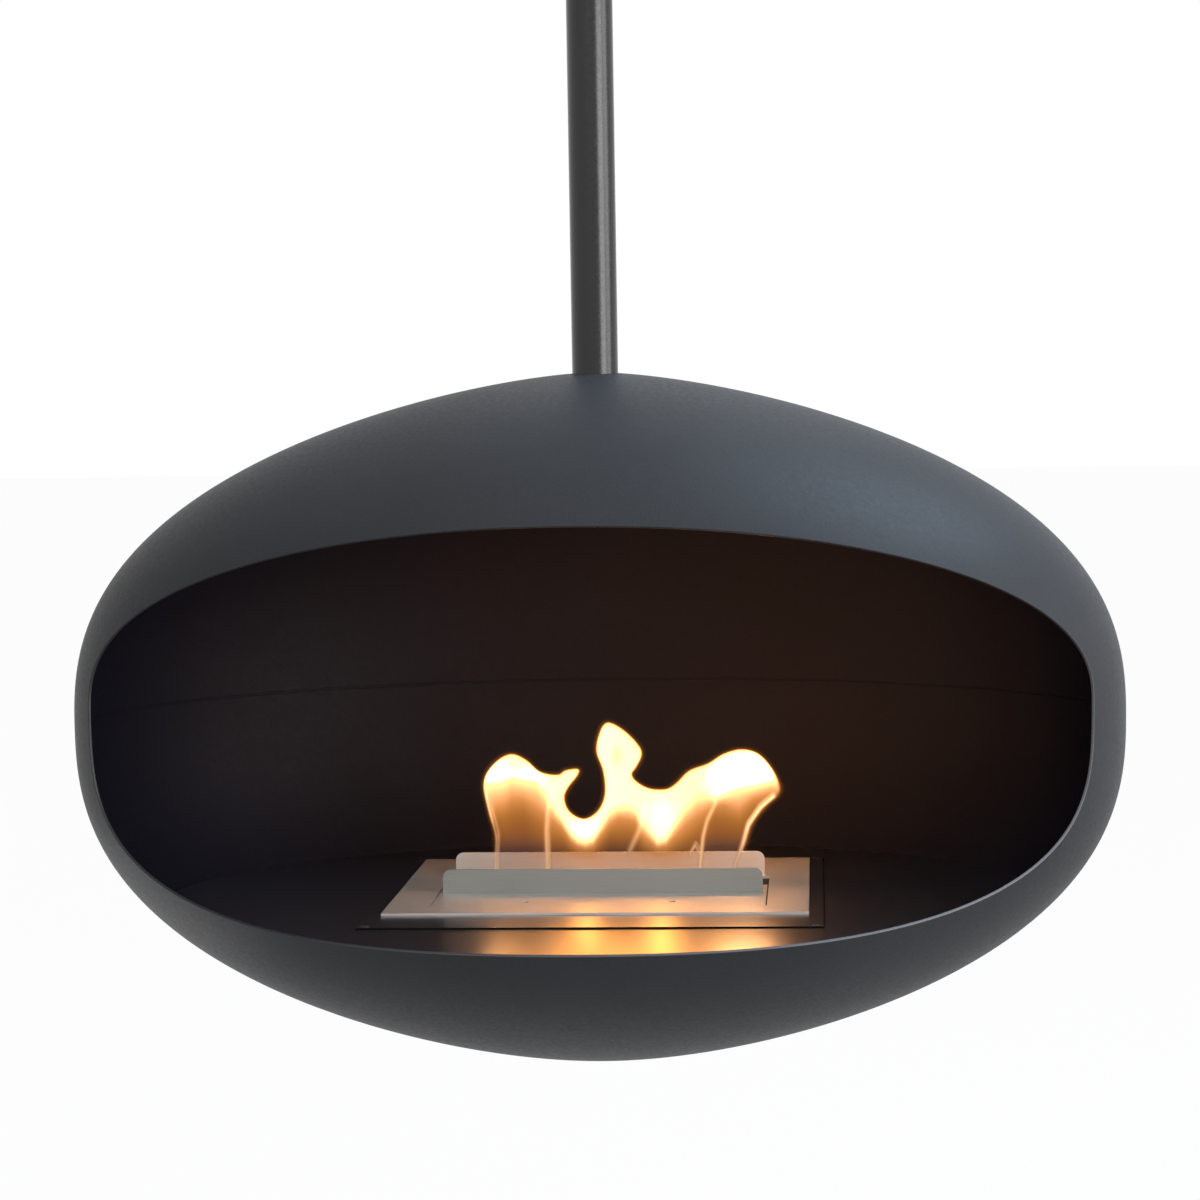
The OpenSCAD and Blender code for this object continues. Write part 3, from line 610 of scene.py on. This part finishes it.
def finer(node, width):
    """A copy of a solid with its edges eased and clean normals, which takes its place."""
    bm = bmesh.new()
    bm.from_mesh(frame["nodes"][node].data)
    bmesh.ops.remove_doubles(bm, verts=bm.verts, dist=1e-6)
    bmesh.ops.dissolve_limit(bm, angle_limit=math.radians(SAME_FACE), verts=bm.verts, edges=bm.edges)
    mesh = bpy.data.meshes.new(node + "_fine")
    bm.to_mesh(mesh)
    bm.free()
    for name in ("custom_normal", "sharp_edge", "sharp_face"):
        layer = mesh.attributes.get(name)
        if layer is not None:
            mesh.attributes.remove(layer)
    mesh.materials.append(OWN_LOOK.get(node, materials[SLOT_OF[node]]))
    # The upright faces of the hearth's plates take the painted shade of their seams
    if node in DARK_SIDES:
        mesh.materials.append(painted_seam_shade)
    upright = [int(node in DARK_SIDES and abs(p.normal.z) < 0.5) for p in mesh.polygons]
    mesh.polygons.foreach_set("material_index", upright)
    mesh.polygons.foreach_set("use_smooth", [True] * len(mesh.polygons))
    obj = add_object(node + "_fine", mesh)
    bevel = obj.modifiers.new("eased", "BEVEL")
    bevel.width = width
    bevel.segments = 2
    bevel.limit_method = "ANGLE"
    bevel.angle_limit = math.radians(EASED_FROM)
    bevel.harden_normals = True
    bevel.use_clamp_overlap = True
    bevel.miter_outer = "MITER_ARC"
    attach(obj, BODY_OF[node])
    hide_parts(node)


for node, width_mm in EASED_MM.items():
    finer(node, width_mm * MM)


# Flames

# They are a thin glowing sheet of fire that stands on the wool. All lengths of this section are in
# millimetres, and places are X and height over the hearth. A level says how bright a place is: 0 is dark,
# 1 bright and 2 nearly white.
FLAME_Y = 42.5
FLAME_EDGE = [
    (-104.5, -10), (-103, 15.5), (-100.5, 44), (-106, 67), (-110, 93), (-102, 109), (-87, 118), (-73, 113),
    (-60, 102), (-44, 99), (-37, 103), (-25, 104), (-26, 99), (-34, 89), (-38.5, 78), (-34, 65), (-21, 58),
    (-8, 66), (-1, 82), (-2, 103), (-8, 122), (-4.5, 139), (1.5, 145.5), (14.5, 139), (27, 127), (32, 117),
    (27, 106), (22, 98), (29, 90), (40, 85), (54, 85), (63, 90.5), (75, 102), (92, 108.5), (106, 117),
    (122, 121), (137, 117), (149, 104), (156.5, 88), (154.5, 80), (144, 70.5), (131.5, 54), (125, 34.5),
    (117.5, 17), (117, -10)]
# The flame's dark foot, at its tongues, hollows and the bends between them: X, and the heights where the
# flame is white, bright and dark
FLAME_FADE = [
    (-110, 90, 67, 50), (-92, 93, 73, 48), (-84, 97, 79, 52), (-74, 95, 79, 54), (-62, 93, 71, 43),
    (-50, 80, 61, 32), (-40, 66, 53, 31), (-32, 52, 40, 23), (-26, 45, 35, 19), (-19, 43, 33, 17),
    (-12, 46, 35, 19), (-5, 57, 45, 27), (3, 72, 55, 37), (11, 76, 60, 35), (20, 78, 59, 35),
    (26, 75, 57, 32), (33, 64, 44, 21), (46, 43, 33, 13), (54, 46, 35, 13), (72, 80, 54, 24),
    (82, 90, 62, 34), (98, 78, 72, 50), (106, 81, 73, 49), (120, 86, 68, 46), (133, 88, 78, 58),
    (148, 92, 82, 64)]
# For each X: the level of the flame's pale parts
FLAME_PALE = [
    (-112, 1.78), (-91, 1.75), (-60, 1.76), (-30, 1.80), (0, 1.84), (12, 1.83), (30, 1.78), (50, 1.80),
    (66, 1.76), (80, 1.70), (92, 1.80), (107, 1.95), (144, 1.97), (158, 1.92)]
# Hottest spots: X, height, half width, half height, and how far their level goes beyond the pale parts
FLAME_HOT = [
    (-100, 100, 10, 13, 1.3), (-70, 98, 12, 8, 0.85), (-19, 51, 12, 8, 0.36), (51, 62, 12, 14, 0.2),
    (111, 98, 13, 10, 0.95), (136, 98, 14, 14, 1.2)]
# A dimmer spot in the middle tongue, in the same terms
FLAME_DIM = (11, 117, 4.5, 9, -0.25)
# How far the level grows from the bright height to the white one, and how much further between two X
SLOPE = 0.5
MIDDLE_SLOPE = 0.4
MIDDLE_FROM = -60
MIDDLE_TO = 100
MIDDLE_BLEND = 25
# How far it grows over the next millimetres above the white height
WHITE_GAIN = 1.3
WHITE_REACH = 12
# At the flame's edge the level doesn't go beyond this
RIM_LEVEL = 1.6
RIM_WIDTH = 2.4
# Bright lines: their points, half width, and their light at the foot and higher up
FLAME_STREAKS = [
    ([(-110, 90), (-105.5, 67), (-100.5, 44), (-101.5, 15), (-102, -6)], 1.6, 0.75, 2.0),
    ([(-46, 93), (-51.8, 72), (-54, 50), (-54, 15), (-54, -6)], 1.7, 0.75, 0.65),
    ([(35, 72), (30, 50), (20, 29)], 2.2, 0.35, 0.5),
    ([(99, 75), (91, 58), (87, 43), (84, 17), (84, -6)], 1.5, 0.8, 0.7),
    ([(151, 80), (139, 70), (128, 54), (122.5, 34.5), (116, 17), (115.5, -6)], 1.7, 0.65, 1.7),
    ([(75, 27), (80, 36), (83, 30)], 1.1, 0.6, 0.6)]
STREAK_COLOUR = np.array([1.0, 0.56, 0.28])
STREAK_FOOT = 22
STREAK_RISE = 40
# Light of the flame from dark to bright: a level and its colour
FLAME_SHADES = [
    (-1.0, (0.020, 0.011, 0.013)), (-0.4, (0.055, 0.023, 0.014)), (0.0, (0.125, 0.045, 0.014)),
    (0.5, (0.26, 0.10, 0.023)), (1.0, (0.58, 0.24, 0.08)), (1.25, (1.1, 0.50, 0.21)),
    (1.5, (2.9, 1.10, 0.42)), (1.8, (10.5, 3.9, 0.72)), (2.1, (18.0, 7.6, 1.5)),
    (2.4, (32.0, 14.5, 4.6)), (3.2, (120.0, 56.0, 26.0))]
FLAME_STRENGTH = 120.0
# The flame fades out at its foot, where the dark places turn slightly blue
FOOT_LEFT = 0.12
FOOT_FROM = 12
FOOT_RISE = 22
BLUE_BELOW_LEVEL = 0.6
BLUE_BELOW = 56
BLUE_FADE = 26
BLUE_COLOUR = np.array([0.003, 0.004, 0.010])
# How much of what lies behind it the flame hides, by its red light, and the same for the bright lines
FLAME_COVER = ([0.02, 0.3, 1.2], [0.10, 0.5, 0.95])
STREAK_COVER = ([0.0, 0.4, 1.2], [0.0, 0.5, 0.9])
# The faint glow around the flame: its width, colour and cover, and where it starts above the hearth
FRINGE = 5.0
HALO_COLOUR = np.array([0.2, 0.062, 0.008])
HALO_COVER = 0.05
HALO_FROM = 20
HALO_RISE = 30
# How far the flame's own edge reaches into the fringe, and the width that it softens over
SOFT_INTO = 0.6
SOFT_WIDTH = 2.6
LEAST_COVER = 0.002
# Half the flame's thickness, and how far from the fringe's edge it is reached
HALF_THICK = 8.5
ROUND_OVER = 11
# The sheet sways to the front and the back along X, more so above its foot, and a little with its height
SWAY_X = 3.0
SWAY_X_LENGTH = 27
SWAY_X_START = 0.8
SWAY_X_RISE = 60
SWAY_Z = 1.5
SWAY_Z_LENGTH = 19
# The points of its mesh: steps along the edge and in the grid, and how far the grid keeps off the edge
EDGE_STEP = 2.0
GRID_STEP = 1.4
GRID_ROW = GRID_STEP * 0.87
GRID_FIRST = 0.6
GRID_CLEAR = 1.0


def smooth_line(points):
    """A smooth open line through the points, about a step from one of its points to the next."""
    points = np.array(points, float)
    out = []
    n = len(points)
    for i in range(n - 1):
        p0 = points[max(i - 1, 0)]
        p1 = points[i]
        p2 = points[i + 1]
        p3 = points[min(i + 2, n - 1)]
        for t in np.linspace(0, 1, 12, endpoint=False):
            out.append(0.5 * (2 * p1 + (p2 - p0) * t + (2 * p0 - 5 * p1 + 4 * p2 - p3) * t ** 2
                              + (3 * p1 - p0 - 3 * p2 + p3) * t ** 3))
    out.append(points[-1])
    out = np.array(out)
    length = np.sum(np.linalg.norm(np.diff(out, axis=0), axis=1))
    return along(out, int(length / EDGE_STEP) + 1)


def distance_to_line(p, line):
    """Distance of each point to the nearest place on a line of many points."""
    best = np.full(len(p), np.inf)
    for a, b in zip(line[:-1], line[1:]):
        ab = b - a
        t = np.clip(((p - a) @ ab) / max(ab @ ab, 1e-9), 0, 1)
        best = np.minimum(best, np.linalg.norm(p - (a + t[:, None] * ab), axis=1))
    return best


def inside_line(p, line):
    """Whether each point lies inside the closed line."""
    x, z = p[:, 0], p[:, 1]
    hit = np.zeros(len(p), bool)
    for (x0, z0), (x1, z1) in zip(line, np.roll(line, -1, axis=0)):
        cross = (z0 > z) != (z1 > z)
        with np.errstate(divide="ignore", invalid="ignore"):
            at = (x1 - x0) * (z - z0) / (z1 - z0) + x0
        hit ^= cross & (x < at)
    return hit


def wider(line, by):
    """The open line moved outwards, with points that would fold over left out."""
    tangent = unit(np.gradient(line, axis=0))
    moved = line + by * np.column_stack([-tangent[:, 1], tangent[:, 0]])
    kept = moved[distance_to_line(moved, line) > by - 0.05]
    return along(kept, len(line))


def smooth_step(x):
    """Rises smoothly from 0 to 1 between 0 and 1."""
    x = np.clip(x, 0, 1)
    return x * x * (3 - 2 * x)


def by_x(table, x):
    """The values that a table gives at each X, one array for each of its columns."""
    table = np.array(table)
    return [np.interp(x, table[:, 0], table[:, k]) for k in range(1, table.shape[1])]


def spot(x, z, at_x, at_z, half_w, half_h, much):
    """A soft oval spot, as strong as much in its middle."""
    return much * np.exp(-((x - at_x) / half_w) ** 2 - ((z - at_z) / half_h) ** 2)


def flame_level(x, z, edge_d):
    """The level at points of the flame, by their place and their distance from its edge."""
    white, bright, dark = by_x(FLAME_FADE, x)
    pale, = by_x(FLAME_PALE, x)
    middle = smooth_step((x - MIDDLE_FROM) / MIDDLE_BLEND) * smooth_step((MIDDLE_TO - x) / MIDDLE_BLEND)
    slope = SLOPE + MIDDLE_SLOPE * middle
    core = 1 + slope * (z - bright) / (white - bright)
    core += WHITE_GAIN * smooth_step((z - white) / WHITE_REACH)
    for hot in FLAME_HOT:
        pale += spot(x, z, *hot)
    found = (z - dark) / (bright - dark)
    found = np.where(found > 1, np.minimum(core, pale), found)
    lowest = FLAME_SHADES[0][0]
    highest = FLAME_SHADES[-1][0]
    found = np.clip(found, lowest, highest) + spot(x, z, *FLAME_DIM)
    rim = smooth_step((edge_d - FRINGE) / RIM_WIDTH)
    return np.where(found > RIM_LEVEL, RIM_LEVEL + (found - RIM_LEVEL) * rim, found)


def flame_light(levels):
    """The light's colour at each level, between the tones of FLAME_SHADES."""
    stops = [stop for stop, tone in FLAME_SHADES]
    tones = np.log([tone for stop, tone in FLAME_SHADES])
    return np.column_stack([np.exp(np.interp(levels, stops, tones[:, k])) for k in range(3)])


def streak_light(p):
    """Light of the bright lines at points of the flame."""
    light = np.zeros((len(p), 3))
    for line, width, foot, top in FLAME_STREAKS:
        d = distance_to_line(p, along(line, 40))
        strength = foot + (top - foot) * smooth_step((p[:, 1] - STREAK_FOOT) / STREAK_RISE)
        light += (strength * np.exp(-(d / width) ** 2))[:, None] * STREAK_COLOUR
    return light


def flame_paint(p, edge_d):
    """Light colour and cover at points of the flame, by their place and their distance from its edge."""
    x, z = p[:, 0], p[:, 1]
    levels = flame_level(x, z, edge_d)
    foot = FOOT_LEFT + (1 - FOOT_LEFT) * smooth_step((z - FOOT_FROM) / FOOT_RISE)
    blue = np.clip(BLUE_BELOW_LEVEL - levels, 0, 1) * smooth_step((BLUE_BELOW - z) / BLUE_FADE)
    light = (flame_light(levels) + blue[:, None] * BLUE_COLOUR) * foot[:, None]
    streaks = streak_light(p)
    flame_cover = np.interp(light[:, 0], *FLAME_COVER) * foot
    streak_cover = np.interp(streaks[:, 0], *STREAK_COVER)
    cover = 1 - (1 - flame_cover) * (1 - streak_cover)
    soft = smooth_step((edge_d - FRINGE + SOFT_INTO) / SOFT_WIDTH)
    halo = np.clip(edge_d / FRINGE, 0, 1) ** 2 * smooth_step((z - HALO_FROM) / HALO_RISE)
    light = (light + streaks) * soft[:, None] + halo[:, None] * HALO_COLOUR
    cover = np.maximum(cover * soft, HALO_COVER * halo + LEAST_COVER)
    # The sheet of fire has two faces, so the light is shared out over what both of them cover
    covered_by_both = cover * (2 - cover)
    return np.minimum(light / covered_by_both[:, None] / FLAME_STRENGTH, 1.0), cover


def flame_points(edge):
    """Points that fill the edge: its own ones first, then a grid of triangles clear of it."""
    lo = edge.min(axis=0)
    hi = edge.max(axis=0)
    grid = []
    for j, z in enumerate(np.arange(lo[1] + GRID_FIRST, hi[1], GRID_ROW)):
        shift = GRID_STEP / 2 if j % 2 else 0
        grid += [(x, z) for x in np.arange(lo[0] + shift, hi[0], GRID_STEP)]
    grid = np.array(grid)
    grid = grid[inside_line(grid, edge)]
    closed = np.vstack([edge, edge[:1]])
    grid = grid[distance_to_line(grid, closed) > GRID_CLEAR]
    return np.vstack([edge, grid])


def flame_sheet(edge):
    """The front face's points in the flame's plane, and its triangles, turned the same way."""
    n = len(edge)
    rim = [(i, (i + 1) % n) for i in range(n)]
    result = delaunay_2d_cdt([Vector(p) for p in flame_points(edge)], rim, [], 1, 1e-6)
    flat = np.array([tuple(v) for v in result[0]])
    triangles = []
    for t in result[2]:
        a, b, c = (flat[i] for i in t)
        turned = (b[0] - a[0]) * (c[1] - a[1]) - (b[1] - a[1]) * (c[0] - a[0]) > 0
        triangles.append(tuple(t) if turned else tuple(t)[::-1])
    return flat, triangles


def flame_material():
    """A black body that shines as the mesh's fire_light layer says, and covers as much as its alpha."""
    s = Shader("flame", Base_Color=(0, 0, 0, 1), Roughness=1.0, Specular_IOR_Level=0.0,
               Emission_Strength=FLAME_STRENGTH)
    layer = new_node(s.tree, "ShaderNodeAttribute")
    layer.attribute_name = "fire_light"
    s.link(layer.outputs["Color"], s.main.inputs["Emission Color"])
    s.link(layer.outputs["Alpha"], s.main.inputs["Alpha"])
    return s.material


def make_flame():
    """Two curved faces that meet at the edge, with the light painted on their points."""
    edge = wider(smooth_line(FLAME_EDGE), FRINGE)
    flat, triangles = flame_sheet(edge)
    x, z = flat[:, 0], flat[:, 1]
    d = distance_to_line(flat, edge)
    d[d < 1e-6] = 0
    on_rim = d < 1e-4
    thick = HALF_THICK * np.sqrt(np.clip(1 - (1 - np.clip(d / ROUND_OVER, 0, 1)) ** 2, 0, 1))
    sway_x = SWAY_X * np.sin(x / SWAY_X_LENGTH + SWAY_X_START) * smooth_step(z / SWAY_X_RISE)
    middle = FLAME_Y + sway_x + SWAY_Z * np.sin(z / SWAY_Z_LENGTH)
    front = np.column_stack([x, middle - thick, z])
    back = np.column_stack([x, middle + thick, z])
    free = np.where(~on_rim)[0]
    back_number = np.arange(len(flat))
    back_number[free] = len(flat) + np.arange(len(free))
    faces = []
    for t in triangles:
        faces.append(t)
        if not all(on_rim[list(t)]):
            faces.append(tuple(int(back_number[i]) for i in t[::-1]))
    points = np.vstack([front, back[free]]) * MM + [0, 0, HEARTH_Z]
    flame = make_object("flames", points, faces, (flame_material(),))
    colour, cover = flame_paint(np.vstack([flat, flat[free]]), np.concatenate([d, d[free]]))
    attribute = flame.data.attributes.new("fire_light", "FLOAT_COLOR", "POINT")
    attribute.data.foreach_set("color", np.column_stack([colour, cover]).astype(np.float32).ravel())
    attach(flame, "burner")
    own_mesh(flame)


make_flame()


# Room: a plain world, a pale floor and soft lamps

FLOOR_Z = -1.91
FLOOR_HALF = 30
# How far the floor is white where it is looked at. The rest of it takes shadows.
FLOOR_WHITE = 0.97
WORLD_LIGHT = 0.42


def seen_as_white(tree):
    """1 for rays from the camera, from gloss and through glass, so that the background is white there."""
    path = new_node(tree, "ShaderNodeLightPath")
    value = path.outputs["Is Camera Ray"]
    for name in ("Is Glossy Ray", "Is Transmission Ray"):
        node = new_node(tree, "ShaderNodeMath")
        node.operation = "MAXIMUM"
        tree.links.new(value, node.inputs[0])
        tree.links.new(path.outputs[name], node.inputs[1])
        value = node.outputs["Value"]
    return value


def show_white(tree, plain, white, share, output):
    """Shows the white shader by the share where it is looked at, and the plain one everywhere else."""
    much = new_node(tree, "ShaderNodeMath")
    much.operation = "MULTIPLY"
    much.inputs[1].default_value = share
    mix = new_node(tree, "ShaderNodeMixShader")
    tree.links.new(seen_as_white(tree), much.inputs[0])
    tree.links.new(much.outputs["Value"], mix.inputs["Fac"])
    tree.links.new(plain.outputs[0], mix.inputs[1])
    tree.links.new(white.outputs[0], mix.inputs[2])
    tree.links.new(mix.outputs[0], output.inputs["Surface"])


def make_world():
    world = bpy.data.worlds.new("studio")
    world.use_nodes = True
    bpy.context.scene.world = world
    tree = world.node_tree
    tree.nodes.clear()
    plain = new_node(tree, "ShaderNodeBackground", Color=(0.95, 0.97, 1.0, 1), Strength=WORLD_LIGHT)
    white = new_node(tree, "ShaderNodeBackground", Color=(1, 1, 1, 1), Strength=1.0)
    show_white(tree, plain, white, 1.0, new_node(tree, "ShaderNodeOutputWorld"))


def make_floor():
    material = bpy.data.materials.new("floor")
    material.use_nodes = True
    tree = material.node_tree
    tree.nodes.clear()
    matt = new_node(tree, "ShaderNodeBsdfDiffuse", Color=(0.5, 0.5, 0.5, 1))
    white = new_node(tree, "ShaderNodeEmission", Strength=1.0)
    show_white(tree, matt, white, FLOOR_WHITE, new_node(tree, "ShaderNodeOutputMaterial"))
    corners = [(x * FLOOR_HALF, y * FLOOR_HALF, FLOOR_Z) for x, y in ((-1, -1), (1, -1), (1, 1), (-1, 1))]
    floor = make_object("floor", corners, [(0, 1, 2, 3)], (material,))


make_world()
make_floor()

# Name, place from the seam's middle, width, height, radiance and colour; the overhead one is pale blue
LAMPS = [
    ("front_strip", (1.95, -1.55, 0.45), 1.2, 1.7, 6.6, (1.0, 0.99, 1.0)),
    ("side", (2.45, -0.4, 0.6), 1.0, 1.6, 4.2, (1.0, 0.99, 1.0)),
    ("overhead", (1.15, 0.15, 1.75), 1.1, 1.1, 13.4, (0.56, 0.78, 1.0)),
    ("rear_high", (0.1, 2.0, 2.2), 1.6, 1.2, 0.8, (1.0, 1.0, 1.0)),
    ("high_front", (-0.2, -2.1, 1.9), 1.4, 0.9, 5.4, (1.0, 0.99, 0.98)),
    ("low_left", (-0.75, 0.0, -0.66), 0.8, 0.8, 1.3, (1.0, 1.0, 1.0)),
]


def soft_lamp(name, at, size_x, size_y, radiance, colour):
    """A rectangular soft lamp that faces the pod. Radiance is what a mirror would show."""
    data = bpy.data.lights.new(name, "AREA")
    data.shape = "RECTANGLE"
    data.size = size_x
    data.size_y = size_y
    data.color = colour
    data.energy = radiance * math.pi * size_x * size_y
    lamp = add_object(name, data)
    lamp.location = Vector((0, 0, SEAM_Z)) + Vector(at)
    lamp.rotation_euler = (-Vector(at)).to_track_quat("-Z", "Y").to_euler()


for lamp in LAMPS:
    soft_lamp(*lamp)


# Camera at the photograph's viewing angle: its place, turns in degrees, lens and shift come from a fit

CAMERA_AT = (0.19274, -2.08861, -0.92403)
CAMERA_YAW = -1.845
CAMERA_PITCH = 4.865
CAMERA_ROLL = -0.643
LENS_MM = 71.742
SENSOR_MM = 36
LENS_SHIFT = -0.118


def make_camera():
    yaw = math.radians(CAMERA_YAW)
    pitch = math.radians(CAMERA_PITCH)
    roll = math.radians(CAMERA_ROLL)
    forward = Vector((math.sin(yaw) * math.cos(pitch), math.cos(yaw) * math.cos(pitch), -math.sin(pitch)))
    right = Vector((math.cos(yaw), -math.sin(yaw), 0))
    up = right.cross(forward)
    right_rolled = math.cos(roll) * right + math.sin(roll) * up
    up_rolled = -math.sin(roll) * right + math.cos(roll) * up
    data = bpy.data.cameras.new("camera")
    data.sensor_fit = "HORIZONTAL"
    data.sensor_width = SENSOR_MM
    data.lens = LENS_MM
    data.shift_x = LENS_SHIFT
    data.clip_start = 0.05
    data.clip_end = 100
    camera = add_object("camera", data)
    turn = Matrix((right_rolled, up_rolled, -forward)).transposed()
    camera.matrix_world = Matrix.Translation(CAMERA_AT) @ turn.to_4x4()
    bpy.context.scene.camera = camera


make_camera()
bpy.context.scene.view_settings.view_transform = "Standard"


bpy.context.view_layer.update()
